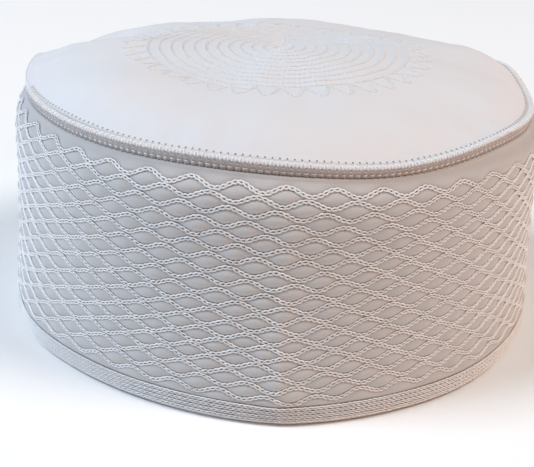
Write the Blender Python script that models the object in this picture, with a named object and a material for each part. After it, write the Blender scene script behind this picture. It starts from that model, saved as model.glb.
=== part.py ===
"""White embroidered kufi: a soft round cap with a quilted side band and a flat, softly puffed crown.

Metres, +Z up, standing on its hem with the origin in the middle of the opening. The front, where the
cap was folded flat for storage, faces -Y. Four sewn pieces: hem, band, welt and crown.
"""

from collections import namedtuple
from math import atan2, cos, degrees, exp, hypot, pi, radians, sin

import bmesh
import bpy
from mathutils import Matrix, Vector

MM = 0.001

# Driving sizes
HEAD_RADIUS = 92.0 * MM  # inside the hem, for a head of 58 cm
HEM_HEIGHT = 6.0 * MM
HEM_WALL = 3.0 * MM  # the band's cloth turned up and stitched down
HEM_CORNER = 0.7 * MM
BAND_WALL = 2.6 * MM  # two cloths with a thin wadding between them
SEAM_HEIGHT = 78.0 * MM  # middle of the welt above the surface that the cap stands on
SEAM_RADIUS = 87.2 * MM  # middle of the welt
WELT_WIDTH = 3.2 * MM
WELT_HEIGHT = 4.2 * MM
CROWN_WALL = 1.6 * MM
CROWN_RISE = 10.5 * MM  # middle of the crown above the middle of the welt
SEWN_GAP = 0.3 * MM  # between two sewn pieces

# Soft form of the standing cap
FOLD_BEARING = -88.0  # degrees from +X: the storage fold runs down the front and up the back
FOLD_PUSH = 3.7 * MM  # how far the fold stands out at the foot
FOLD_LEFT = 40.0  # degrees that it spreads to the left, as seen from outside
FOLD_RIGHT = 58.0
FOLD_FADE = 0.8  # share of the seam's height at which the fold has gone
BACK_LEAN = 1.1 * MM  # how much higher the seam is at the back than in the middle
LEFT_LEAN = 1.2 * MM  # and how much higher on the left
SAG_POWER = 4  # how quickly a sag of the seam fades down the band and in over the crown
DENT_RIM = 0.5  # share of the crown's rise over which its dents fade to nothing at its edge

SEGMENTS = 64  # facets round the cap
WELT_FACETS = 12
CORNER_FACETS = 2
STATION_STEPS = 2  # facets between two stations of an outline
MERGE = 0.001 * MM
CREASE_ANGLE = 40.0  # degrees: sharper edges aren't shaded smooth

# Middle of the band's wall: share of its height, share of the way in from the hem to the welt
BandStation = namedtuple("BandStation", "height inset")
BAND_OUTLINE = (
    BandStation(0.00, 0.00),
    BandStation(0.10, 0.06),
    BandStation(0.36, 0.28),
    BandStation(0.62, 0.42),
    BandStation(0.82, 0.44),
    BandStation(0.93, 0.60),
    BandStation(0.98, 0.97),
    BandStation(1.00, 1.00),
)

# Bulges of the foot: bearing and spread in degrees, push as a share of the fold's. They fade upwards
# as the fold does.
Bulge = namedtuple("Bulge", "bearing spread push")
FOOT_BULGES = (
    Bulge(-146.0, 11.0, 0.28),
    Bulge(-48.0, 14.0, 0.20),
)

# Sags of the soft seam: bearing and spread in degrees, depth as a share of the welt's height. A
# negative depth is a rise.
Sag = namedtuple("Sag", "bearing spread depth")
SEAM_SAGS = (
    Sag(-104.0, 14.0, -0.13),
    Sag(-68.0, 14.0, 0.28),
    Sag(-38.0, 13.0, -0.28),
    Sag(15.0, 12.0, -0.75),
    Sag(174.0, 9.0, -0.50),
)

# Middle of the crown's wall: share of its radius, share of its rise
CrownStation = namedtuple("CrownStation", "radius rise")
CROWN_OUTLINE = (
    CrownStation(0.00, 1.00),
    CrownStation(0.42, 0.97),
    CrownStation(0.70, 0.87),
    CrownStation(0.87, 0.64),
    CrownStation(0.955, 0.28),
    CrownStation(0.985, 0.03),
    CrownStation(1.00, 0.00),
)

# Dents of the soft crown: bearing in degrees, distance from the middle and width as shares of the
# seam's radius, depth as a share of the crown's rise. A negative depth is a swelling.
Dent = namedtuple("Dent", "bearing distance width depth")
CROWN_DENTS = (
    Dent(180.0, 0.55, 0.42, 0.12),
    Dent(5.0, 0.60, 0.42, -0.30),
    Dent(110.0, 0.84, 0.16, 0.16),
    Dent(152.0, 0.85, 0.13, 0.26),
    Dent(174.0, 0.90, 0.11, -0.24),
    Dent(-35.0, 0.84, 0.16, 0.15),
    Dent(-82.0, 0.74, 0.12, 0.06),
    Dent(-128.0, 0.80, 0.18, 0.07),
)


def smooth_line(points, steps):
    """The points of a Catmull-Rom curve through the given (radius, height) points."""
    padded = [points[0], *points, points[-1]]
    line = []
    for before, start, end, after in zip(padded, padded[1:], padded[2:], padded[3:]):
        for step in range(steps):
            t = step / steps
            bend = (before * (-t + 2 * t**2 - t**3) + start * (2 - 5 * t**2 + 3 * t**3)
                    + end * (t + 4 * t**2 - 3 * t**3) + after * (t**3 - t**2))
            line.append(bend / 2)
    return [*line, points[-1]]


def wall_section(line, wall):
    """The outline of a wall of even thickness: along one side of its middle line, back along the other."""
    sides = []
    for i, point in enumerate(line):
        along = line[min(i + 1, len(line) - 1)] - line[max(i - 1, 0)]
        if point.x == 0:
            along = Vector((1, 0))  # level where it crosses the cap's axis
        sides.append(Vector((along.y, -along.x)).normalized() * wall / 2)
    right = [point + side for point, side in zip(line, sides)]
    left = [point - side for point, side in zip(line, sides)]
    return right + left[::-1]


def hem_section():
    """A rectangle with rounded corners that stands on the ground."""
    flat_width = HEM_WALL / 2 - HEM_CORNER
    flat_height = HEM_HEIGHT / 2 - HEM_CORNER
    middle = Vector((HEAD_RADIUS + HEM_WALL / 2, HEM_HEIGHT / 2))
    section = []
    for quarter, (side, end) in enumerate(((1, 1), (-1, 1), (-1, -1), (1, -1))):
        corner = middle + Vector((side * flat_width, end * flat_height))
        for step in range(CORNER_FACETS + 1):
            turn = (quarter + step / CORNER_FACETS) * pi / 2
            section.append(corner + HEM_CORNER * Vector((cos(turn), sin(turn))))
    return section


def band_section():
    """The quilted wall, from the top of the hem to the underside of the welt."""
    foot = Vector((HEAD_RADIUS + HEM_WALL / 2, HEM_HEIGHT + SEWN_GAP))
    top = Vector((SEAM_RADIUS, SEAM_HEIGHT - WELT_HEIGHT / 2 - SEWN_GAP))
    stations = [
        Vector((foot.x + (top.x - foot.x) * station.inset, foot.y + (top.y - foot.y) * station.height))
        for station in BAND_OUTLINE
    ]
    return wall_section(smooth_line(stations, STATION_STEPS), BAND_WALL)


def welt_section():
    """The rolled seam, an upright oval."""
    turns = [2 * pi * facet / WELT_FACETS for facet in range(WELT_FACETS)]
    return [
        Vector((SEAM_RADIUS + WELT_WIDTH / 2 * cos(turn), SEAM_HEIGHT + WELT_HEIGHT / 2 * sin(turn)))
        for turn in turns
    ]


def crown_section():
    """The crown's cloth, from its middle to the inner side of the welt."""
    edge = SEAM_RADIUS - WELT_WIDTH / 2 - SEWN_GAP
    stations = [
        Vector((edge * station.radius, SEAM_HEIGHT + CROWN_RISE * station.rise))
        for station in CROWN_OUTLINE
    ]
    return wall_section(smooth_line(stations, STATION_STEPS), CROWN_WALL)


def degrees_between(bearing, other):
    """The short way round from a bearing in degrees to one in radians, in degrees."""
    return (degrees(other) - bearing + 180) % 360 - 180


def fold_push(bearing, height):
    """How far the storage fold and the bulges push the wall out: most at the foot, fading upwards."""
    from_fold = (degrees(bearing) - FOLD_BEARING + 90) % 180 - 90
    nearness = max(0.0, 1 - abs(from_fold) / (FOLD_RIGHT if from_fold > 0 else FOLD_LEFT))
    push = nearness**2
    for bulge in FOOT_BULGES:
        push += bulge.push * exp(-(degrees_between(bulge.bearing, bearing) / bulge.spread) ** 2)
    return FOLD_PUSH * push * max(0.0, 1 - height / (FOLD_FADE * SEAM_HEIGHT))


def seam_sag(bearing, radius):
    """How far the seam sinks at a bearing: less and less towards the middle of the crown."""
    depth = 0.0
    for sag in SEAM_SAGS:
        share = degrees_between(sag.bearing, bearing) / sag.spread
        depth += sag.depth * WELT_HEIGHT * exp(-share**2)
    return depth * min(1.0, radius / SEAM_RADIUS) ** SAG_POWER


def crown_dent(place):
    """How far the crown sinks at a place: nothing at its edge, where the welt holds it."""
    sunk = 0.0
    for dent in CROWN_DENTS:
        away = dent.distance * SEAM_RADIUS
        middle = Vector((away * cos(radians(dent.bearing)), away * sin(radians(dent.bearing))))
        share = (place.xy - middle).length / (dent.width * SEAM_RADIUS)
        sunk += dent.depth * CROWN_RISE * exp(-share**2)
    above_edge = max(0.0, (place.z - SEAM_HEIGHT) / CROWN_RISE)
    return sunk * min(1.0, above_edge / DENT_RIM)


def softened(place, dented):
    """A place on the turned shape, moved to where the soft cap has it."""
    radius = hypot(place.x, place.y)
    bearing = atan2(place.y, place.x)
    out = radius + (fold_push(bearing, place.z) if radius > MERGE else 0.0)
    share = place.z / SEAM_HEIGHT
    lean = (BACK_LEAN * sin(bearing) - LEFT_LEAN * cos(bearing)) * radius / SEAM_RADIUS * share
    sunk = seam_sag(bearing, radius) * share**SAG_POWER + (crown_dent(place) if dented else 0.0)
    return Vector((out * cos(bearing), out * sin(bearing), place.z + lean - sunk))


def cotton(name, colour, roughness):
    material = bpy.data.materials.new(name)
    material.use_nodes = True
    shader = material.node_tree.nodes["Principled BSDF"]
    shader.inputs["Base Color"].default_value = (*colour, 1)
    shader.inputs["Roughness"].default_value = roughness
    shader.inputs["Metallic"].default_value = 0
    material.diffuse_color = (*colour, 1)
    return material


def turned_piece(name, section, material, dented=False):
    """A section spun round the upright axis from the fold, then moved to the cap's soft form."""
    mesh = bmesh.new()
    points = [mesh.verts.new((point.x, 0, point.y)) for point in section]
    edges = [mesh.edges.new(pair) for pair in zip(points, points[1:])]
    if section[0].x > MERGE:
        edges.append(mesh.edges.new((points[-1], points[0])))
    bmesh.ops.rotate(mesh, verts=points, matrix=Matrix.Rotation(radians(FOLD_BEARING), 3, "Z"))
    bmesh.ops.spin(mesh, geom=points + edges, axis=(0, 0, 1), angle=2 * pi, steps=SEGMENTS, use_merge=True)
    bmesh.ops.remove_doubles(mesh, verts=mesh.verts, dist=MERGE)
    for vert in mesh.verts:
        vert.co = softened(vert.co, dented)
    bmesh.ops.recalc_face_normals(mesh, faces=mesh.faces)
    data = bpy.data.meshes.new(name)
    mesh.to_mesh(data)
    mesh.free()
    data.shade_smooth()
    data.set_sharp_from_angle(angle=radians(CREASE_ANGLE))
    data.materials.append(material)
    piece = bpy.data.objects.new(name, data)
    bpy.data.collections["embroidered_kufi"].objects.link(piece)
    return piece


def main():
    for startup_object in list(bpy.data.objects):
        bpy.data.objects.remove(startup_object)
    bpy.context.scene.collection.children.link(bpy.data.collections.new("embroidered_kufi"))
    poplin = cotton("white_cotton_poplin", (0.80, 0.80, 0.81), 0.85)
    quilting = cotton("white_quilted_cotton", (0.72, 0.71, 0.71), 0.88)
    stitched = cotton("white_stitched_cotton", (0.76, 0.75, 0.74), 0.75)
    turned_piece("hem", hem_section(), stitched)
    turned_piece("band", band_section(), quilting)
    turned_piece("welt", welt_section(), stitched)
    turned_piece("crown", crown_section(), poplin, dented=True)


main()
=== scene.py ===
"""White embroidered kufi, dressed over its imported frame: quilted band, rolled seam, puffed crown and stitches.

Metres, +Z up, the front towards -Y. The sizes of the soft form repeat the part's own, but for what a comment
says only the cloth has. Bearings are in degrees from +X, counted towards +Y.
"""

from math import cos, pi, radians, sin, sqrt

import bmesh
import bpy
import numpy as np
from mathutils import Matrix, Vector


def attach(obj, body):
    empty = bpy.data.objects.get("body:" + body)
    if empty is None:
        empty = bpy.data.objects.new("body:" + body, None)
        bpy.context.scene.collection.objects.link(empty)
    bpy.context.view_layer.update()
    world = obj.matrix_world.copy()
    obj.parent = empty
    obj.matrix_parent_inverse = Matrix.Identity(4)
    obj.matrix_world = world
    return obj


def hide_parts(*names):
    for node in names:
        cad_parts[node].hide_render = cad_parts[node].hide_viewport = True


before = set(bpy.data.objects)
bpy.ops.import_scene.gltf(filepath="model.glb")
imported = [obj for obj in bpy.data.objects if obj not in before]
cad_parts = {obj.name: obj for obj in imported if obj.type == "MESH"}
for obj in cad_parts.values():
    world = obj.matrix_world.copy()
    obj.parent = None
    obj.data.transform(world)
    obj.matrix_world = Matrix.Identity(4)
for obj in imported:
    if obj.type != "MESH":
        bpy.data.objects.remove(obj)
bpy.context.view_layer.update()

MM = 0.001

# The part's driving sizes
HEAD_RADIUS = 92.0 * MM
HEM_HEIGHT = 6.0 * MM
HEM_WALL = 3.0 * MM
BAND_WALL = 2.6 * MM
SEAM_HEIGHT = 78.0 * MM
SEAM_RADIUS = 87.2 * MM
WELT_HEIGHT = 4.2 * MM
CROWN_WALL = 1.6 * MM
CROWN_RISE = 10.5 * MM
SEWN_GAP = 0.3 * MM
FOLD_BEARING, FOLD_PUSH, FOLD_LEFT, FOLD_RIGHT, FOLD_FADE = -88.0, 3.7 * MM, 40.0, 58.0, 0.8
BACK_LEAN, LEFT_LEAN = 1.1 * MM, 1.2 * MM
SAG_POWER, DENT_RIM = 4, 0.5
# Share of the band's height, and how much of its way in to the seam it has gone there
BAND_OUTLINE = ((0.00, 0.00), (0.10, 0.06), (0.36, 0.28), (0.62, 0.42), (0.82, 0.44), (0.93, 0.60), (0.98, 0.97),
                (1.00, 1.00))
# Bearing, spread in degrees, and share of the fold's push
FOOT_BULGES = ((-146.0, 11.0, 0.28), (-48.0, 14.0, 0.20))
# Bearing, spread in degrees, and depth in welt heights
SEAM_SAGS = ((-104.0, 14.0, -0.13), (-68.0, 14.0, 0.28), (-38.0, 13.0, -0.28), (15.0, 12.0, -0.75),
             (174.0, 9.0, -0.50))
CLOTH_SAG = (160.0, 12.0, 0.80)  # one more sag, which only the cloth has
# Share of the crown's radius, and share of its rise. The cloth's last stations lie further out than the solid's.
CROWN_OUTLINE = ((0.00, 1.00), (0.415, 0.97), (0.69, 0.87), (0.86, 0.64), (0.943, 0.36), (0.98, 0.19), (1.00, 0.13))
# Bearing, distance and width in seam radii, and depth in crown rises
CROWN_DENTS = ((180.0, 0.55, 0.42, 0.12), (5.0, 0.60, 0.42, -0.30), (110.0, 0.84, 0.16, 0.16),
               (152.0, 0.85, 0.13, 0.26), (174.0, 0.90, 0.11, -0.24), (-35.0, 0.84, 0.16, 0.15),
               (-82.0, 0.74, 0.12, 0.06), (-128.0, 0.80, 0.18, 0.07))
# Low swells and hollows in the same columns, which only the cloth has
CLOTH_SWELLS = ((0.0, 0.00, 0.62, -0.24),
                (0.0, 0.50, 0.36, 0.09), (60.0, 0.50, 0.36, 0.21), (120.0, 0.50, 0.36, 0.13),
                (180.0, 0.50, 0.36, -0.14), (240.0, 0.50, 0.36, 0.19), (300.0, 0.50, 0.36, -0.08),
                (0.0, 0.78, 0.26, 0.16), (135.0, 0.78, 0.26, 0.14), (180.0, 0.78, 0.26, -0.10),
                (225.0, 0.78, 0.26, -0.35), (270.0, 0.78, 0.26, -0.10), (315.0, 0.78, 0.26, 0.17),
                (174.0, 0.90, 0.14, 0.33))
# Where the crown's cloth, and not its solid, bulges out over the seam and hides its stitches
OVERHANG_BEARING, OVERHANG_SPREAD = 167.0, 33.0
OVERHANG_OUT, OVERHANG_UP = 2.4 * MM, 0.3 * MM
OVERHANG_START = 0.93  # share of the crown's radius

# The wavy net of chain stitch round the band
NET_WAVES = 42
NET_LINES = (72.7, 69.6, 66.1, 62.4, 58.9, 55.4, 51.9, 48.3, 44.9, 41.3,
             38.0, 34.8, 31.6, 28.5, 25.6, 22.7, 19.6, 16.3, 12.9, 9.3)  # mm
NET_SWING = 1.00 * MM
NET_FIRST_CREST = -96.4
NET_SHIFT = 3.50  # degrees that each line lies further round than the one above
# How the sewing wanders: at a bearing, how many mm each height of the net is raised, and how many degrees
# it lies further round
WANDER_HEIGHTS = (11.0, 25.0, 38.0, 57.0, 71.0)  # mm
WANDERS = ((-180.0, (0.2, 0.3, 0.8, 0.3, 0.0), (0.0, 0.0, 0.0, 0.0, 0.0)),
           (-160.0, (0.4, 0.8, 2.0, 0.7, 0.0), (0.2, 0.0, -0.3, 0.2, 0.0)),
           (-140.0, (0.4, 0.9, 2.3, 0.7, 0.0), (0.4, 0.0, -0.6, 0.4, 0.2)),
           (-127.0, (0.4, 0.6, 1.2, 0.2, -0.2), (0.1, 0.0, -0.2, 0.2, 0.0)),
           (-116.0, (0.3, 0.2, 0.2, 0.0, 0.0), (0.0, 0.0, 0.0, 0.0, 0.0)),
           (-105.0, (0.3, 0.0, -0.1, 0.0, 0.2), (0.0, 0.0, 0.0, 0.0, 0.0)),
           (-94.0, (0.0, -0.4, -0.2, -0.1, 0.2), (0.0, 0.0, 0.0, 0.0, 0.0)),
           (-85.0, (-0.7, -1.0, -0.7, -0.4, 0.0), (-0.2, -0.3, -0.4, -0.2, 0.0)),
           (-76.0, (0.6, 0.5, 0.7, -0.5, -0.1), (-0.5, -0.6, -0.8, -0.6, 0.2)),
           (-68.0, (1.0, 0.8, 1.6, -0.4, -0.3), (-0.9, -0.9, -1.2, -1.0, 0.4)),
           (-57.0, (1.0, 0.7, 1.6, -0.5, -1.3), (-1.4, -1.2, -1.6, -1.3, 0.5)),
           (-45.0, (0.7, 0.4, 0.7, -1.2, -2.7), (-2.4, -1.4, -2.1, -1.3, 0.2)),
           (-30.0, (0.7, 0.2, 0.1, -2.0, -3.8), (-2.2, -1.6, -2.1, -1.0, 0.8)),
           (-12.0, (0.5, 0.1, 0.0, -2.1, -3.9), (-1.6, -1.2, -1.4, -0.7, 0.6)),
           (10.0, (0.3, 0.0, 0.0, -1.2, -2.2), (-0.8, -0.6, -0.7, -0.3, 0.3)),
           (35.0, (0.0, 0.0, 0.0, -0.3, -0.6), (0.0, 0.0, 0.0, 0.0, 0.0)),
           (70.0, (0.0, 0.0, 0.0, 0.0, 0.0), (0.0, 0.0, 0.0, 0.0, 0.0)),
           (120.0, (0.0, 0.0, 0.2, 0.1, 0.0), (0.0, 0.0, 0.0, 0.0, 0.0)),
           (180.0, (0.2, 0.3, 0.8, 0.3, 0.0), (0.0, 0.0, 0.0, 0.0, 0.0)))
QUILT_PUFF = 0.95 * MM  # how far the cloth stands out in a wide cell
WIDE_CELL = 4.1 * MM
# Height and fade in degrees of the two soft ridges that make the crease of the fold
CREASE_RIDGES = ((0.35 * MM, 2.5), (0.75 * MM, 8.0))

# Stitches
STITCH = 1.7 * MM  # pitch of the chain stitch
CHAIN_WIDTH = 1.5 * MM
THREAD = 0.56 * MM
HELD_DOWN = 0.42 * CHAIN_WIDTH  # to each side of a line of the net, the stitches hold the cloth flat
HEM_ROWS = (1.75 * MM, 3.2 * MM, 4.65 * MM, 6.1 * MM)
HEM_CHAIN = 0.92  # the hem's chains are narrower, so that a little cloth shows between the rows
# How far the middle of each thread's foot stands off the cloth. The crown's are drawn in.
NET_LIFT, HEM_LIFT, CROWN_LIFT = 0.12 * MM, 0.10 * MM, -0.30 * MM
WELT_STITCHES = 261
# Radius and height in mm of the ends of the legs of the seam's V stitches
V_TOP, V_FOOT = (86.95, 80.32), (88.7, 79.6)
# Length, thickness, radius and height in mm of the two lines of dashes below the V stitches
DASHES = ((0.7, 0.26, 87.75, 78.55), (1.2, 0.36, 87.88, 77.5))
# Radius and height in mm of the rows of needle holes in the crease and under the roll, and how far each faces up
SEAM_HOLES = ((88.1, 79.5, 0.3), (88.0, 76.4, -0.1))
CROWN_HOLES = 85.9 * MM  # radius of the row in the crown's edge
SPIRAL_MIDDLE = (-0.2 * MM, -1.8 * MM)
SPIRAL_PITCH = 4.03 * MM
SPIRAL_TURNS = 11.72
LOOPS = 38
LOOPS_MIDDLE, LOOPS_TURN = (-1.6 * MM, -0.2 * MM), radians(2.1)
LOOP_INNER, LOOP_OUTER = 47.0 * MM, 53.6 * MM

# Radius and height in mm round the seam's cross section: the crown's edge laps down over a narrower shaded roll
WELT_SECTION = ((86.0, 78.2), (86.1, 79.7), (86.45, 80.2), (86.9, 80.42), (87.5, 80.46), (88.1, 80.28),
                (88.5, 79.95), (88.55, 79.6), (88.0, 79.35), (87.75, 78.9), (87.7, 78.2), (87.75, 77.5),
                (87.85, 76.9), (87.9, 76.4), (87.3, 76.0), (86.5, 76.2), (86.0, 77.0))
CREASE_RADIUS, CREASE_HEIGHT = 88.2 * MM, 79.45 * MM  # where the lap ends and the roll begins

WEAVE = 0.5 * MM  # a poplin's yarns lie about 0.25 mm apart. They are drawn at the least that shows.
# Name, place, width, watts and colour of each soft lamp: a ceiling, a cool window and a warm room
LAMPS = (("overhead_left", (-2.9, -0.55, 4.4), 2.2, 176.0, "#E8F3FF"),
         ("overhead_right", (2.9, -0.55, 4.4), 2.2, 133.0, "#FFFBF5"),
         ("window_side", (-2.3, -0.1, 0.35), 0.8, 21.0, "#C2DEFF"),
         ("room_side", (2.0, -0.85, 0.4), 0.8, 12.5, "#FFA044"))
CAP_MIDDLE = (0, 0, 0.05)  # where the lamps point
# The camera, fitted to the photo: distance, angle up, roll, the height it circles, and the point it looks at
CAMERA_AWAY, CAMERA_UP, CAMERA_ROLL = 0.360, radians(20.06), radians(2.34)
CAMERA_CIRCLES, CAMERA_AIM = 0.045, (-0.0024, 0, 0.01884)
FOCAL_PIXELS, PHOTO_PIXELS = 964.35, 534  # focal length, and width of the photo
SENSOR_WIDTH = 36.0  # mm


def smooth_line(points, steps):
    """Points of a Catmull-Rom curve through the given (radius, height) points."""
    points = [np.array(p) for p in points]
    padded = [points[0], *points, points[-1]]
    line = []
    for before, start, end, after in zip(padded, padded[1:], padded[2:], padded[3:]):
        for step in range(steps):
            t = step / steps
            line.append((before * (-t + 2 * t**2 - t**3) + start * (2 - 5 * t**2 + 3 * t**3)
                         + end * (t + 4 * t**2 - 3 * t**3) + after * (t**3 - t**2)) / 2)
    return np.array([*line, points[-1]])


def spaced(line, count):
    """The same line with its points an equal distance apart."""
    length = np.concatenate([[0], np.cumsum(np.hypot(*np.diff(line, axis=0).T))])
    at = np.linspace(0, length[-1], count)
    return np.column_stack([np.interp(at, length, line[:, 0]), np.interp(at, length, line[:, 1])])


def wall_sides(line, wall):
    """The outer and inner sides of a wall of even thickness about its middle line."""
    along = np.gradient(line, axis=0)
    if line[0, 0] == 0:
        along[0] = (1, 0)  # a line that starts on the axis starts level
    side = np.column_stack([along[:, 1], -along[:, 0]])
    side *= wall / 2 / np.hypot(*side.T)[:, None]
    return line + side, line - side


def degrees_from(bearing, place):
    """The short way round from a bearing in degrees to others in radians, in degrees."""
    return (np.degrees(place) - bearing + 180) % 360 - 180


def fold_push(bearing, height):
    """How far the folds at the front and back push the wall out, with the bulges of its foot."""
    from_fold = (np.degrees(bearing) - FOLD_BEARING + 90) % 180 - 90
    worn = 5.0 * np.clip(1 - height / (12 * MM), 0, 1)  # degrees: near the floor the fold is rounded by standing
    push = np.maximum(0, 1 - np.hypot(from_fold, worn) / np.where(from_fold > 0, FOLD_RIGHT, FOLD_LEFT)) ** 2
    for middle, spread, share in FOOT_BULGES:
        push = push + share * np.exp(-(degrees_from(middle, bearing) / spread) ** 2)
    return FOLD_PUSH * push * np.maximum(0, 1 - height / (FOLD_FADE * SEAM_HEIGHT))


def seam_sag(bearing, radius):
    """How far the seam hangs below its even height, fading towards the crown's middle."""
    depth = sum(share * WELT_HEIGHT * np.exp(-(degrees_from(middle, bearing) / spread) ** 2)
                for middle, spread, share in (*SEAM_SAGS, CLOTH_SAG))
    return depth * np.minimum(1, radius / SEAM_RADIUS) ** SAG_POWER


def crown_dent(across, ahead, height):
    """How far the crown is dented at a place, and swollen where that is less than nothing."""
    sunk = 0
    for bearing, distance, width, share in (*CROWN_DENTS, *CLOTH_SWELLS):
        away = distance * SEAM_RADIUS
        gap = np.hypot(across - away * cos(radians(bearing)), ahead - away * sin(radians(bearing)))
        sunk = sunk + share * CROWN_RISE * np.exp(-(gap / (width * SEAM_RADIUS)) ** 2)
    return sunk * np.clip((height - SEAM_HEIGHT) / CROWN_RISE / DENT_RIM, 0, 1)


def softened(bearing, radius, height, dented=False):
    """Places of the turned shape, moved to where the soft cap has them."""
    out = radius + np.where(radius > 0.001 * MM, fold_push(bearing, height), 0)
    share = height / SEAM_HEIGHT
    lean = (BACK_LEAN * np.sin(bearing) - LEFT_LEAN * np.cos(bearing)) * radius / SEAM_RADIUS * share
    sunk = seam_sag(bearing, radius) * share**SAG_POWER
    if dented:
        sunk = sunk + crown_dent(radius * np.cos(bearing), radius * np.sin(bearing), height)
    return np.stack([out * np.cos(bearing), out * np.sin(bearing), height + lean - sunk], -1)


BAND_FOOT = np.array([HEAD_RADIUS + HEM_WALL / 2, HEM_HEIGHT + SEWN_GAP])
BAND_TOP = np.array([SEAM_RADIUS, SEAM_HEIGHT - WELT_HEIGHT / 2 - SEWN_GAP])
BAND_MIDDLE = smooth_line([BAND_FOOT + (BAND_TOP - BAND_FOOT) * (inset, height) for height, inset in BAND_OUTLINE],
                          12)
BAND_OUTER, BAND_INNER = wall_sides(BAND_MIDDLE, BAND_WALL)

CROWN_EDGE = 86.4 * MM
CROWN_MIDDLE = smooth_line([(CROWN_EDGE * radius, SEAM_HEIGHT + CROWN_RISE * rise) for radius, rise in CROWN_OUTLINE],
                           12)
CROWN_UNDER, CROWN_TOP = wall_sides(CROWN_MIDDLE, CROWN_WALL)


def soft_creases(bearing, height):
    """Small swells of limp cloth that no stitch holds flat."""
    return (0.5 * np.sin(7 * bearing + 60 * height + 0.7) + 0.3 * np.sin(13 * bearing - 110 * height + 2.1)
            + 0.2 * np.sin(23 * bearing + 45 * height + 4.0))


def wander(line, bearing):
    """How many mm up and how many degrees round the sewing has carried a line of the net at a bearing."""
    carried = []
    for column in (1, 2):
        rows = [(row[0], np.interp(NET_LINES[line], WANDER_HEIGHTS, row[column])) for row in WANDERS]
        curve = smooth_line(rows, 8)
        carried.append(np.interp(np.degrees(bearing), curve[:, 0], curve[:, 1]))
    return carried


def net_height(line, bearing):
    """Height of a wavy line of the net at a bearing."""
    raised, further = wander(line, bearing)
    turn = NET_WAVES * (bearing - np.radians(NET_FIRST_CREST + line * NET_SHIFT + further))
    return (NET_LINES[line] + raised) * MM + NET_SWING * np.cos(turn)


def quilted(bearing, height):
    """How far the band's cloth stands out at a place: nothing under a stitched line, most inside a wide cell."""
    above = np.full(bearing.shape, BAND_TOP[1]) - height
    below = height - np.full(bearing.shape, HEM_HEIGHT)
    for line in range(len(NET_LINES)):
        gap = net_height(line, bearing) - height
        above = np.where(gap >= 0, np.minimum(above, gap), above)
        below = np.where(gap < 0, np.minimum(below, -gap), below)
    above, below = np.maximum(above - HELD_DOWN, 0), np.maximum(below - HELD_DOWN, 0)
    across = above + below + 0.001 * MM
    share = above / across
    domed = (4 * share * (1 - share)) ** 0.7
    full = np.clip(across / WIDE_CELL, 0, 1.1) ** 0.8
    uneven = 1 + 0.22 * soft_creases(bearing * 3.1, height * 2.3)
    return QUILT_PUFF * domed * full * uneven


def fold_crease(bearing, height):
    """The sharp line that storing the cap flat has left down its front and back."""
    from_fold = np.abs((np.degrees(bearing) - FOLD_BEARING + 90) % 180 - 90)
    ridge = sum(rise * np.exp(-from_fold / fade) for rise, fade in CREASE_RIDGES)
    return ridge * np.clip(1.2 - height / SEAM_HEIGHT, 0, 1) * np.clip(0.2 + height / (10 * MM), 0, 1)


def band_place(bearing, height, lift=0.0, puffed=False):
    """A place on the band's outer side, lifted off the cloth under the stitches."""
    radius = np.interp(height, BAND_OUTER[:, 1], BAND_OUTER[:, 0]) + lift + fold_crease(bearing, height)
    if puffed:
        radius = radius + quilted(bearing, height)
    return softened(bearing, radius, height)


def hem_place(bearing, height, lift=0.0):
    """A place on the hem's outer side."""
    radius = HEAD_RADIUS + HEM_WALL + lift + fold_crease(bearing, height)
    return softened(bearing, radius, height)


def crown_place(across, ahead, lift=0.0):
    """A place on the crown's upper side."""
    radius, bearing = np.hypot(across, ahead), np.arctan2(ahead, across)
    height = np.interp(radius, CROWN_TOP[:, 0], CROWN_TOP[:, 1])
    place = softened(bearing, radius, height, dented=True)
    near_seam = np.clip((radius - 0.80 * CROWN_EDGE) / (0.16 * CROWN_EDGE), 0, 1)
    near_seam = near_seam * np.clip((CROWN_EDGE - radius) / (2.5 * MM), 0, 1)
    gathers = np.sin(47 * bearing + 1.3 * np.sin(5 * bearing)) + 0.8 * np.sin(31 * bearing + 2.0)
    wave = 0.35 * MM * soft_creases(bearing, radius * 0.7) * np.clip(radius / (40 * MM), 0, 1)
    place[..., 2] += 0.16 * MM * near_seam * gathers + wave * np.clip((CROWN_EDGE - radius) / (9 * MM), 0, 1) + lift
    over = np.exp(-(degrees_from(OVERHANG_BEARING, bearing) / OVERHANG_SPREAD) ** 4)
    over = over * np.clip((radius / CROWN_EDGE - OVERHANG_START) / (1 - OVERHANG_START), 0, 1)
    out, up = OVERHANG_OUT * over, OVERHANG_UP * over
    return place + np.stack([out * np.cos(bearing), out * np.sin(bearing), up], -1)


def seen_stitches():
    """Bearings of the seam's stitches, but for those under the crown's overhang."""
    bearing = radians(FOLD_BEARING) + 2 * pi * np.arange(WELT_STITCHES) / WELT_STITCHES
    return bearing[np.abs(degrees_from(OVERHANG_BEARING, bearing)) > OVERHANG_SPREAD]


def finish_piece(mesh, name, material, node=None):
    """The mesh as a piece of the cap that rides on its body."""
    data = bpy.data.meshes.new(name)
    mesh.to_mesh(data)
    mesh.free()
    return finish_data(data, name, material, node)


def finish_data(data, name, material, node=None):
    """Mesh data as a piece of the cap, in place of a node if one is named."""
    data.shade_smooth()
    data.materials.append(material)
    piece = bpy.data.objects.new(name, data)
    bpy.context.scene.collection.objects.link(piece)
    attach(piece, "root")
    if node:
        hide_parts(node)
    return piece


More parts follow.
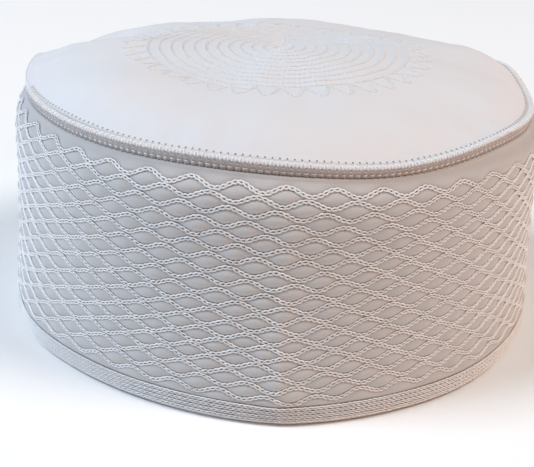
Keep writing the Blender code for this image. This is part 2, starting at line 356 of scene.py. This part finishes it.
def turned(section, columns):
    """A bmesh of a closed section, or one that starts and ends on the axis, spun round the upright axis."""
    mesh = bmesh.new()
    points = [mesh.verts.new((radius, 0, height)) for radius, height in section]
    edges = [mesh.edges.new(pair) for pair in zip(points, points[1:])]
    if section[0][0] > 0.001 * MM:
        edges.append(mesh.edges.new((points[-1], points[0])))
    bmesh.ops.rotate(mesh, verts=points, matrix=Matrix.Rotation(radians(FOLD_BEARING), 3, "Z"))
    bmesh.ops.spin(mesh, geom=points + edges, axis=(0, 0, 1), angle=2 * pi, steps=columns, use_merge=True)
    bmesh.ops.remove_doubles(mesh, verts=mesh.verts, dist=0.001 * MM)
    bmesh.ops.recalc_face_normals(mesh, faces=mesh.faces)
    return mesh


def moved_verts(mesh, move):
    """Moves all vertices at once: move takes bearings, radii and heights and gives places."""
    places = np.array([vert.co for vert in mesh.verts])
    radius, bearing = np.hypot(places[:, 0], places[:, 1]), np.arctan2(places[:, 1], places[:, 0])
    for vert, place in zip(mesh.verts, move(bearing, radius, places[:, 2])):
        vert.co = place


def lay_cloth_map(mesh, girth_radius):
    """A map in metres of cloth: round the cap one way and up the other."""
    layer = mesh.loops.layers.uv.new("cloth")
    for face in mesh.faces:
        turns = [np.arctan2(loop.vert.co.y, loop.vert.co.x) for loop in face.loops]
        if max(turns) - min(turns) > pi:
            turns = [turn + 2 * pi if turn < 0 else turn for turn in turns]
        for loop, turn in zip(face.loops, turns):
            loop[layer].uv = (turn * girth_radius, loop.vert.co.z)


def chain_link():
    """One chain stitch: a loop of thread that comes up through the round head of the one before and lies over it."""
    mesh = bmesh.new()
    across = Matrix.Translation((1, 0, 0)) @ Matrix.Rotation(pi / 2, 4, "X")
    ring = bmesh.ops.create_circle(mesh, segments=4, radius=0.1, matrix=across)["verts"]
    bmesh.ops.spin(mesh, geom=ring + mesh.edges[:], axis=(0, 0, 1), angle=2 * pi, steps=8, use_merge=True)
    bmesh.ops.recalc_face_normals(mesh, faces=mesh.faces)
    for vert in mesh.verts:
        turn = np.arctan2(vert.co.y, vert.co.x)
        from_line = (vert.co.xy.length - 1) / 0.1 * THREAD / 2
        head = (1 + cos(turn)) / 2  # 1 at the round head, 0 where the thread comes up
        half_width = (CHAIN_WIDTH - THREAD) / 2 * (0.42 + 0.58 * min(1, head * 1.7))
        along = 0.60 * STITCH * cos(turn) if cos(turn) > 0 else 0.72 * STITCH * cos(turn)
        rise = THREAD * (0.30 + 0.55 * min(1, 4.5 * head) * (1 - head))
        vert.co = (along + from_line * cos(turn), half_width * sin(turn) * (1.12 - 0.12 * head) + from_line * sin(turn),
                   rise + vert.co.z / 0.1 * THREAD / 2)
    return mesh


def link_arrays(mesh):
    """A mesh as arrays of its places and faces."""
    places = np.array([vert.co for vert in mesh.verts])
    faces = np.array([[vert.index for vert in face.verts] for face in mesh.faces])
    mesh.free()
    return places, faces


def stitch_frames(places, normals, pitch):
    """Evenly spaced stitches along a run: the middle, along, across and out of each."""
    steps = np.linalg.norm(np.diff(places, axis=0), axis=1)
    length = np.concatenate([[0], np.cumsum(steps)])
    count = max(1, int(round(length[-1] / pitch)))
    at = (np.arange(count) + 0.5) * length[-1] / count
    middle = np.column_stack([np.interp(at, length, places[:, k]) for k in range(3)])
    out = np.column_stack([np.interp(at, length, normals[:, k]) for k in range(3)])
    reach = 0.3 * pitch
    ahead = np.column_stack([np.interp(at + reach, length, places[:, k]) for k in range(3)])
    behind = np.column_stack([np.interp(at - reach, length, places[:, k]) for k in range(3)])
    along = ahead - behind
    along /= np.linalg.norm(along, axis=1)[:, None]
    out -= along * (out * along).sum(1)[:, None]
    out /= np.linalg.norm(out, axis=1)[:, None]
    return middle, along, np.cross(out, along), out


def surface_normals(place, first, second, lift):
    """Outward normals of a surface given by place(first, second, lift)."""
    step = 0.0005
    one = place(first + step, second, lift) - place(first - step, second, lift)
    other = place(first, second + step, lift) - place(first, second - step, lift)
    normal = np.cross(one, other)
    return normal / np.linalg.norm(normal, axis=1)[:, None]


dice = np.random.default_rng(20)  # for the small unevenness of hand-fed sewing


def copies(link, middle, along, across, out, size):
    """Copies of a stitch at given places and turned to given directions, each of its own size."""
    places, faces = link
    local = places[None] * size[:, None, :]
    made = (middle[:, None] + along[:, None] * local[..., 0:1] + across[:, None] * local[..., 1:2]
            + out[:, None] * local[..., 2:3])
    offsets = np.arange(len(middle)) * len(places)
    return made.reshape(-1, 3), (faces[None] + offsets[:, None, None]).reshape(-1, faces.shape[1])


def joined(parts):
    """Several (places, faces) as one."""
    places, faces, start = [], [], 0
    for part_places, part_faces in parts:
        places.append(part_places)
        faces.append(part_faces + start)
        start += len(part_places)
    return np.concatenate(places), np.concatenate(faces)


def sewn_along(runs, link):
    """Copies of one link along all the runs, each a little uneven as thread is."""
    parts = []
    for places, normals in runs:
        middle, along, across, out = stitch_frames(places, normals, STITCH)
        turn = dice.normal(0, 0.06, len(middle))[:, None]
        along, across = along + turn * across, across - turn * along
        parts.append(copies(link, middle, along, across, out, dice.normal(1, 0.04, (len(middle), 3))))
    return joined(parts)


def placed_copies(link, middle, along, out):
    """Copies of a stitch at given places, each along its own direction and standing out as far as that lets it."""
    along = along / np.linalg.norm(along, axis=1)[:, None]
    out = out - along * (out * along).sum(1)[:, None]
    out = out / np.linalg.norm(out, axis=1)[:, None]
    return copies(link, middle, along, np.cross(out, along), out, dice.normal(1, 0.05, (len(middle), 3)))


def joined_mesh(name, places, faces):
    """One mesh from arrays of places and faces."""
    data = bpy.data.meshes.new(name)
    corners = faces.shape[1]
    data.vertices.add(len(places))
    data.vertices.foreach_set("co", places.astype(np.float32).ravel())
    data.loops.add(faces.size)
    data.loops.foreach_set("vertex_index", faces.astype(np.int32).ravel())
    data.polygons.add(len(faces))
    data.polygons.foreach_set("loop_start", np.arange(0, faces.size, corners, dtype=np.int32))
    data.update(calc_edges=True)
    return data


def linear(colour):
    """An sRGB hex colour as linear values."""
    parts = [int(colour[i : i + 2], 16) / 255 for i in (1, 3, 5)]
    return (*[c / 12.92 if c <= 0.04045 else ((c + 0.055) / 1.055) ** 2.4 for c in parts], 1)


def add_node(material, kind, settings=None, **links):
    """A node with its settings and its links, each from (node, output)."""
    node = material.node_tree.nodes.new(kind)
    for name, value in (settings or {}).items():
        if name in node.inputs and not hasattr(type(node), name):
            node.inputs[name].default_value = value
        else:
            setattr(node, name, value)
    for name, (source, output) in links.items():
        socket = node.inputs[int(name[1:])] if name[0] == "_" else node.inputs[name]
        material.node_tree.links.new(source.outputs[output], socket)
    return node


def woven_cotton(name, light, dark, roughness, sheen, flat):
    """Bleached cotton, plain woven of fine matt yarn: no gloss, a soft sheen at grazing angles and faint greying."""
    material = bpy.data.materials.new(name)
    material.use_nodes = True
    links = material.node_tree.links
    shader = material.node_tree.nodes["Principled BSDF"]
    shader.inputs["Roughness"].default_value = roughness
    shader.inputs["IOR"].default_value = 1.5
    shader.inputs["Specular IOR Level"].default_value = 0.25
    shader.inputs["Sheen Weight"].default_value = sheen
    shader.inputs["Sheen Roughness"].default_value = 0.5
    where = add_node(material, "ShaderNodeTexCoord")
    lay = "Object" if flat else "UV"  # flat cloth needs no map of its own
    # scales are per metre: clouds about 29 mm across, slubs of the yarn 1.1 mm long and soft creases 6 mm apart
    cloud = add_node(material, "ShaderNodeTexNoise", {"Scale": 35.0, "Detail": 4.0, "Roughness": 0.6},
                     Vector=(where, "Object"))
    tone = add_node(material, "ShaderNodeMix", {"data_type": "RGBA"}, _0=(cloud, 0))
    tone.inputs[6].default_value = linear(dark)
    tone.inputs[7].default_value = linear(light)
    links.new(tone.outputs[2], shader.inputs["Base Color"])
    # bands repeat every pi / 10 units of scaled length
    yarn = {"Scale": pi / 10 / WEAVE, "Distortion": 0.6, "Detail": 1.0, "Detail Scale": 2.0}
    warp = add_node(material, "ShaderNodeTexWave", {"bands_direction": "X", **yarn}, Vector=(where, lay))
    weft = add_node(material, "ShaderNodeTexWave", {"bands_direction": "Y", **yarn}, Vector=(where, lay))
    weave = add_node(material, "ShaderNodeMath", {"operation": "ADD"}, _0=(warp, "Fac"), _1=(weft, "Fac"))
    slub = add_node(material, "ShaderNodeTexNoise", {"Scale": 900.0, "Detail": 3.0}, Vector=(where, "Object"))
    cloth = add_node(material, "ShaderNodeMath", {"operation": "ADD"}, _0=(weave, 0), _1=(slub, 0))
    fine = add_node(material, "ShaderNodeBump", {"Strength": 0.35, "Distance": 0.04 * MM}, Height=(cloth, 0))
    crease = add_node(material, "ShaderNodeTexNoise", {"Scale": 160.0, "Detail": 2.0}, Vector=(where, "Object"))
    rumpled = add_node(material, "ShaderNodeBump", {"Strength": 0.25, "Distance": 0.35 * MM}, Height=(crease, 0),
                       Normal=(fine, 0))
    links.new(rumpled.outputs[0], shader.inputs["Normal"])
    return material


def embroidery_thread(name, light, dark, roughness):
    """Machine embroidery thread, twisted of bright polyester filament: a silky gloss with small glints."""
    material = bpy.data.materials.new(name)
    material.use_nodes = True
    links = material.node_tree.links
    shader = material.node_tree.nodes["Principled BSDF"]
    shader.inputs["Roughness"].default_value = roughness
    shader.inputs["IOR"].default_value = 1.55
    shader.inputs["Sheen Weight"].default_value = 0.15
    where = add_node(material, "ShaderNodeTexCoord")
    cloud = add_node(material, "ShaderNodeTexNoise", {"Scale": 500.0, "Detail": 2.0}, Vector=(where, "Object"))
    tone = add_node(material, "ShaderNodeMix", {"data_type": "RGBA"}, _0=(cloud, 0))
    tone.inputs[6].default_value = linear(dark)
    tone.inputs[7].default_value = linear(light)
    links.new(tone.outputs[2], shader.inputs["Base Color"])
    # the twist of the thread, about 0.3 mm a turn, drawn as fine noise
    twist = add_node(material, "ShaderNodeTexNoise", {"Scale": 3500.0, "Detail": 1.0}, Vector=(where, "Object"))
    fine = add_node(material, "ShaderNodeBump", {"Strength": 0.4, "Distance": 0.05 * MM}, Height=(twist, 0))
    links.new(fine.outputs[0], shader.inputs["Normal"])
    return material


def make_hem(material):
    """The hem's cloth, drawn in a little along each row of stitches."""
    middle = HEAD_RADIUS + HEM_WALL / 2
    corner = 0.9 * MM
    section = []
    for quarter, (side, end) in enumerate(((1, 1), (-1, 1), (-1, -1), (1, -1))):
        about = (middle + side * (HEM_WALL / 2 - corner), HEM_HEIGHT / 2 + end * (HEM_HEIGHT / 2 - corner))
        for step in range(5):
            turn = (quarter + step / 4) * pi / 2
            section.append((about[0] + corner * cos(turn), about[1] + corner * sin(turn)))
        if side > 0 and end < 0:
            heights = np.linspace(corner, HEM_HEIGHT - corner, 16)[1:-1]
            section += [(HEAD_RADIUS + HEM_WALL, height) for height in heights]
        if side < 0 and end > 0:
            heights = np.linspace(HEM_HEIGHT - corner, corner, 5)[1:-1]
            section += [(HEAD_RADIUS, height) for height in heights]
    mesh = turned(section, 256)

    def soften(bearing, radius, height):
        outside = np.clip((radius - middle) / (HEM_WALL / 2), 0, 1)
        rows = sum(np.exp(-((height - row) / (0.35 * MM)) ** 2) for row in HEM_ROWS)
        return softened(bearing, radius + fold_crease(bearing, height) - 0.28 * MM * rows * outside, height)

    moved_verts(mesh, soften)
    lay_cloth_map(mesh, middle)
    return finish_piece(mesh, "hem_cloth", material, "hem")


def make_band(material):
    """The band's cloth, puffed between the lines of the net and a little uneven inside."""
    outer, inner = spaced(BAND_OUTER, 140), spaced(BAND_INNER, 18)
    mesh = turned([*outer, *inner[::-1]], 430)

    def soften(bearing, radius, height):
        middle = np.interp(height, BAND_MIDDLE[:, 1], BAND_MIDDLE[:, 0])
        outside = np.clip((radius - middle) / (0.4 * BAND_WALL), 0, 1)
        puff = quilted(bearing, height) * outside
        gathered = 0.75 * MM * np.clip((height - 73.9 * MM) / (1.7 * MM), 0, 1)  # up to the roll's needle holes
        inside = np.clip(-(radius - middle) / (0.4 * BAND_WALL), 0, 1)
        inward = -0.35 * MM * inside * soft_creases(bearing * 5, height * 4)
        return softened(bearing, radius + puff + inward + fold_crease(bearing, height), height + gathered)

    moved_verts(mesh, soften)
    lay_cloth_map(mesh, HEAD_RADIUS)
    return finish_piece(mesh, "band_quilting", material, "band")


def make_welt(lap, roll):
    """The seam's roll, pulled in at each stitch: the lap is one material and what lies under its crease another, darker
    with painted shade.
    """
    section = np.array([*WELT_SECTION, WELT_SECTION[0]]) * MM
    mesh = turned(spaced(section, 31)[:-1], WELT_STITCHES * 4)

    def soften(bearing, radius, height):
        beat = 0.5 + 0.5 * np.cos(WELT_STITCHES * (bearing - radians(FOLD_BEARING)))  # 1 at each stitch
        top = np.exp(-(((radius - 86.8 * MM) / (0.5 * MM)) ** 2)) * (height > SEAM_HEIGHT)
        foot = np.exp(-((height - 76.4 * MM) / (0.5 * MM)) ** 2) * (radius > SEAM_RADIUS)
        ribbed = np.clip((CREASE_HEIGHT - height) / (2.0 * MM), 0, 1) * (radius > SEAM_RADIUS)
        pulled = (0.4 * foot * beat**6 + 0.22 * ribbed * beat**2) * MM
        return softened(bearing, radius - pulled, height - 0.35 * MM * top * beat**6)

    moved_verts(mesh, soften)
    lay_cloth_map(mesh, SEAM_RADIUS)
    for face in mesh.faces:
        middle = face.calc_center_median()
        crease = softened(np.arctan2(middle.y, middle.x), CREASE_RADIUS, CREASE_HEIGHT)
        face.material_index = int(middle.z < crease[2])
    piece = finish_piece(mesh, "welt_roll", lap, "welt")
    piece.data.materials.append(roll)
    return piece


def make_crown(material):
    """The crown's cloth. The side under the middle line keeps its distance from the upper one."""
    top = spaced(CROWN_TOP, 92)
    under = spaced(CROWN_UNDER, 24)
    mesh = turned([*top, *under[::-1]], 240)

    def soften(bearing, radius, height):
        line = np.interp(radius, CROWN_MIDDLE[:, 0], CROWN_MIDDLE[:, 1])
        place = crown_place(radius * np.cos(bearing), radius * np.sin(bearing))
        place[:, 2] += np.where(height > line, 0, height - np.interp(radius, CROWN_TOP[:, 0], CROWN_TOP[:, 1]))
        return place

    moved_verts(mesh, soften)
    return finish_piece(mesh, "crown_cloth", material, "crown")


def run_on(place, first, second, lift):
    """A run of stitches on a surface: its places and their normals."""
    return place(first, second, lift), surface_normals(place, first, second, lift)


def net_run(line):
    """One wavy line of the net."""
    bearing = np.linspace(-pi, pi, NET_WAVES * 24 + 1)
    return run_on(band_place, bearing, net_height(line, bearing), NET_LIFT)


def hem_run(row):
    """One row of the hem, which wavers a little as fed by hand."""
    bearing = np.linspace(-pi, pi, 721)
    height = np.full(bearing.shape, row) + 0.08 * MM * np.sin(9 * bearing + row * 4000)
    return run_on(hem_place, bearing, height, HEM_LIFT)


def spiral_run():
    """The crown's one long spiral, from near its middle outwards."""
    turn = np.linspace(0.35, SPIRAL_TURNS, 2400) * 2 * pi
    away = SPIRAL_PITCH * turn / (2 * pi)
    across, ahead = SPIRAL_MIDDLE[0] + away * np.cos(turn), SPIRAL_MIDDLE[1] + away * np.sin(turn)
    return run_on(crown_place, across, ahead, CROWN_LIFT)


def loops_run():
    """The looped border: deep round cups that open towards the spiral."""
    turn = np.linspace(0, 2 * pi, LOOPS * 60 + 1)
    beat = LOOPS * turn
    away = (LOOP_INNER + LOOP_OUTER) / 2 + (LOOP_OUTER - LOOP_INNER) / 2 * np.cos(beat)
    round_it = LOOPS_TURN + turn + 0.3 / LOOPS * np.sin(beat)
    across, ahead = LOOPS_MIDDLE[0] + away * np.cos(round_it), LOOPS_MIDDLE[1] + away * np.sin(round_it)
    return run_on(crown_place, across, ahead, CROWN_LIFT)


def stitch_piece(name, stitches, material):
    """Stitches, as (places, faces), made one piece of the cap."""
    return finish_data(joined_mesh(name, *stitches), name, material)


def short_thread(length, width, rise, segments=4):
    """A short straight stitch that bows up from the cloth and dives in at both ends."""
    mesh = bmesh.new()
    across = Matrix.Translation((-length / 2, 0, 0)) @ Matrix.Rotation(pi / 2, 4, "Y")
    bmesh.ops.create_circle(mesh, segments=4, radius=width / 2, matrix=across)
    edges = mesh.edges[:]
    for _ in range(segments):
        made = bmesh.ops.extrude_edge_only(mesh, edges=edges)["geom"]
        ring = [v for v in made if isinstance(v, bmesh.types.BMVert)]
        edges = [e for e in made if isinstance(e, bmesh.types.BMEdge)]
        bmesh.ops.translate(mesh, verts=ring, vec=(length / segments, 0, 0))
    bmesh.ops.holes_fill(mesh, edges=[e for e in mesh.edges if e.is_boundary])
    for vert in mesh.verts:
        along = vert.co.x / (length / 2)
        vert.co.z = vert.co.z * 0.9 + rise * (1 - along**2)
    bmesh.ops.recalc_face_normals(mesh, faces=mesh.faces)
    bmesh.ops.triangulate(mesh, faces=mesh.faces)
    return mesh


def seam_place(bearing, radius, height):
    """Places round the soft seam, from a radius and a height in mm."""
    return softened(bearing, np.full(bearing.shape, radius * MM), np.full(bearing.shape, height * MM))


def welt_stitches():
    """Ladder stitches over the seam: a V of two legs from each needle hole, and two lines of short dashes below."""
    bearing = seen_stitches()
    leg = link_arrays(short_thread(2.0 * MM, 0.50 * MM, 0.50 * MM))
    parts = []
    for side in (-1, 1):
        spread = side * 0.55 * MM / SEAM_RADIUS
        top, foot = seam_place(bearing + 0.15 * spread, *V_TOP), seam_place(bearing + spread, *V_FOOT)
        out = np.stack([np.cos(bearing) * 0.75, np.sin(bearing) * 0.75, np.full(bearing.shape, 0.66)], -1)
        parts.append(placed_copies(leg, (top + foot) / 2, foot - top, out))
    between = bearing + pi / WELT_STITCHES
    for length, width, radius, height in DASHES:
        dash = link_arrays(short_thread(length * MM, width * MM, 0.12 * MM, segments=2))
        place = seam_place(between, radius, height)
        out = np.stack([np.cos(between), np.sin(between), np.full(between.shape, -0.2)], -1)
        parts.append(placed_copies(dash, place, seam_place(between + 0.01, radius, height) - place, out))
    return joined(parts)


def needle_hole():
    """A tiny pit, a little longer than wide, with its rim on the cloth."""
    mesh = bmesh.new()
    bmesh.ops.create_cone(mesh, segments=6, radius1=0.02 * MM, radius2=0.31 * MM, depth=0.12 * MM)
    bmesh.ops.scale(mesh, verts=mesh.verts, vec=(1.25, 0.85, 1))
    bmesh.ops.triangulate(mesh, faces=mesh.faces)
    return mesh


def needle_holes():
    """The holes of the ladder stitches, as small pits that carry their painted shade: a row in the crease, one under
    the roll and one in the crown's edge.
    """
    bearing = seen_stitches()
    between = bearing + pi / WELT_STITCHES
    pit = link_arrays(needle_hole())
    parts = []
    for radius, height, upward in SEAM_HOLES:
        level = sqrt(1 - upward**2)
        out = np.stack([np.cos(between) * level, np.sin(between) * level, np.full(between.shape, upward)], -1)
        place = seam_place(between, radius, height)
        down = seam_place(between, radius, height - 1) - place
        parts.append(placed_copies(pit, place - 0.02 * MM * out, down, out))
    across, ahead, rim = CROWN_HOLES * np.cos(bearing), CROWN_HOLES * np.sin(bearing), 0.03 * MM
    place, out = run_on(crown_place, across, ahead, rim)
    inward = crown_place(0.99 * across, 0.99 * ahead, rim) - place
    parts.append(placed_copies(pit, place, inward, out))
    return joined(parts)


def make_floor():
    """The photo's bright surface: painted matt white, so it shows soft shadows and no reflection."""
    material = bpy.data.materials.new("matt_white_studio_floor")
    material.use_nodes = True
    shader = material.node_tree.nodes["Principled BSDF"]
    shader.inputs["Base Color"].default_value = linear("#F7F7F7")
    shader.inputs["Roughness"].default_value = 0.9
    shader.inputs["Specular IOR Level"].default_value = 0.1
    mesh = bmesh.new()
    bmesh.ops.create_grid(mesh, x_segments=1, y_segments=1, size=4.0, matrix=Matrix.Translation((0, 0, -0.0002)))
    data = bpy.data.meshes.new("floor")
    mesh.to_mesh(data)
    mesh.free()
    data.materials.append(material)
    floor = bpy.data.objects.new("floor", data)
    bpy.context.scene.collection.objects.link(floor)


def soft_light(name, place, size, watts, colour):
    """A round soft lamp that points at the cap."""
    lamp = bpy.data.lights.new(name, "AREA")
    lamp.shape, lamp.size, lamp.energy, lamp.color = "DISK", size, watts, linear(colour)[:3]
    light = bpy.data.objects.new(name, lamp)
    bpy.context.scene.collection.objects.link(light)
    light.location = place
    light.rotation_euler = (Vector(CAP_MIDDLE) - Vector(place)).to_track_quat("-Z", "Y").to_euler()


def make_light():
    """The photo's even light: the room's own and four soft lamps."""
    world = bpy.data.worlds.new("studio")
    bpy.context.scene.world = world
    world.use_nodes = True
    world.node_tree.nodes["Background"].inputs["Color"].default_value = linear("#FFF8F4")
    world.node_tree.nodes["Background"].inputs["Strength"].default_value = 0.155
    for lamp in LAMPS:
        soft_light(*lamp)
    view = bpy.context.scene.view_settings
    view.view_transform, view.look = "Standard", "None"


def make_camera():
    """The photograph's own viewpoint."""
    place = Vector((0, -CAMERA_AWAY * cos(CAMERA_UP), CAMERA_CIRCLES + CAMERA_AWAY * sin(CAMERA_UP)))
    ahead = (Vector(CAMERA_AIM) - place).normalized()
    level = ahead.cross(Vector((0, 0, 1))).normalized()
    upright = level.cross(ahead)
    right = cos(CAMERA_ROLL) * level + sin(CAMERA_ROLL) * upright
    up = -sin(CAMERA_ROLL) * level + cos(CAMERA_ROLL) * upright
    lens = bpy.data.cameras.new("camera")
    lens.sensor_width = SENSOR_WIDTH
    lens.lens = FOCAL_PIXELS / PHOTO_PIXELS * SENSOR_WIDTH
    lens.clip_start = 0.01
    camera = bpy.data.objects.new("camera", lens)
    bpy.context.scene.collection.objects.link(camera)
    camera.matrix_world = Matrix.Translation(place) @ Matrix((right, up, -ahead)).transposed().to_4x4()
    bpy.context.scene.camera = camera


def main():
    """Builds the view, the cap's materials and its pieces."""
    make_camera()
    make_light()
    make_floor()
    # plain woven and bleached: matt, even and nearly white
    poplin = woven_cotton("bleached_cotton_poplin", "#DFDFE1", "#D9D9DC", 0.85, 0.25, True)
    # the same cloth sewn down over wadding: matt, and greyer than the crown's: painted shade, for its puffs shade one
    # another and the upright band gets less light
    quilting = woven_cotton("quilted_cotton_poplin_painted_shade", "#C3C1C0", "#BAB8B7", 0.88, 0.25, False)
    # cloth turned in and pulled tight by the needle: matt, with less fuzz
    rolled = woven_cotton("rolled_cotton_seam", "#DAD8D6", "#D2D0CE", 0.88, 0.2, False)
    # thread twisted of thick bright filament: silky, with soft glints
    bright = embroidery_thread("bright_polyester_thread", "#F2F1F1", "#E9E8E8", 0.36)
    # the crown's cloth where it laps down over the seam: as matt and pale as the crown
    lap = woven_cotton("lapped_cotton_poplin", "#DFDFE1", "#D9D9DC", 0.85, 0.25, False)
    # cloth rolled under the lap: matt, and darker with painted shade, for little light comes in there
    shaded = woven_cotton("cotton_roll_painted_shade", "#C0BAB7", "#B6B0AD", 0.9, 0.1, False)
    band = make_band(quilting)
    hem = make_hem(rolled)
    welt = make_welt(lap, shaded)
    crown = make_crown(poplin)
    link = link_arrays(chain_link())
    for group in range(5):
        runs = [net_run(line) for line in range(group * 4, group * 4 + 4)]
        stitch_piece(f"net_stitches_{group + 1}", sewn_along(runs, link), bright)
    narrow = (link[0] * (1.0, HEM_CHAIN, 1.0), link[1])
    stitch_piece("hem_stitches", sewn_along([hem_run(row) for row in HEM_ROWS], narrow), bright)
    # thread twisted harder, of finer filament: a little less bright, with sharper glints
    fine = embroidery_thread("white_polyester_thread", "#E6E6E8", "#DEDEE0", 0.32)
    stitch_piece("crown_spiral_stitches", sewn_along([spiral_run()], link), fine)
    stitch_piece("crown_loop_stitches", sewn_along([loops_run()], link), fine)
    stitch_piece("welt_ladder_stitches", welt_stitches(), bright)
    # painted shade of the needle holes: dark and dull, for hardly any light comes back from their bottoms
    shade = embroidery_thread("needle_hole_painted_shade", "#7A7471", "#6A6563", 0.9)
    stitch_piece("needle_holes", needle_holes(), shade)


main()
